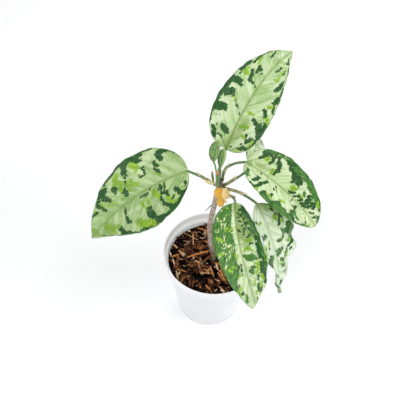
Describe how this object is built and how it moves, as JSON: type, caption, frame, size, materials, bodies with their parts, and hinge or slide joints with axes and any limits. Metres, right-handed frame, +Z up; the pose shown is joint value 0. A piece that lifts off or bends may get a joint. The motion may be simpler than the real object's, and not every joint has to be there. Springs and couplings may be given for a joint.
{
  "type": "potted aglaonema",
  "caption": "Small potted aglaonema with camouflage-patterned leaves on one bare cane, closed flower spathes at its crown, in a white tapered nursery pot of bark chips.",
  "frame": {"origin": "the middle of the pot's flat underside", "axes": "+Z up along the pot's axis; -Y towards the side that the picture was taken from; +X to its right"},
  "size_m": [0.2326, 0.2369, 0.302],
  "materials": {
    "white_pot": "thin white moulded plastic, satin, a little dusty",
    "potting_bark": "chopped bark chips, rough and dry, orange brown to purple brown with dark gaps",
    "trunk": "bare tan stem, dull, ringed with leaf scars",
    "aerial_root": "dark dry root, dull",
    "blade": "leaf blade, satin, dark green blotches over pale silver green with lime patches",
    "petiole": "smooth green leaf stalk, satin",
    "dry_sheath": "papery dry sheath, tan to olive, thin and dull",
    "blade_dark": "leaf blade, satin, mid green finely speckled, pale along the midrib",
    "blade_pale": "leaf blade, satin, pale cream green with grey green specks",
    "flower_stalk": "green stalk with pale margins, satin",
    "dry_collar": "dried orange brown bud collar, dull",
    "spathe": "closed green spathe, mottled, satin, paler margins",
    "withered_spathe": "dried orange tan spathe, glossy folds, translucent yellow below",
    "withered_spadix": "withered yellow and cream beads, waxy",
    "dry_bract": "dried pale yellow bract with an olive point"
  },
  "bodies": {
    "root": {"pot": "white_pot", "potting_bark": "potting_bark", "trunk": "trunk", "aerial_root": "aerial_root", "leaf_left_blade": "blade", "leaf_left_petiole": "petiole", "leaf_left_sheath": "dry_sheath", "leaf_back_blade": "blade", "leaf_back_petiole": "petiole", "leaf_back_sheath": "dry_sheath", "leaf_right_blade": "blade", "leaf_right_petiole": "petiole", "leaf_right_sheath": "dry_sheath", "leaf_front_blade": "blade_dark", "leaf_front_petiole": "petiole", "leaf_front_sheath": "dry_sheath", "leaf_front_right_blade": "blade_pale", "leaf_front_right_petiole": "petiole", "leaf_front_right_sheath": "dry_sheath", "leaf_small_blade": "blade_pale", "leaf_small_petiole": "petiole", "leaf_small_sheath": "dry_sheath", "flower_stalk": "flower_stalk", "dry_collar": "dry_collar", "spathe_left": "spathe", "spathe_right": "spathe", "withered_spathe": "withered_spathe", "withered_spadix": "withered_spadix", "dry_bract": "dry_bract"}
  },
  "joints": []
}
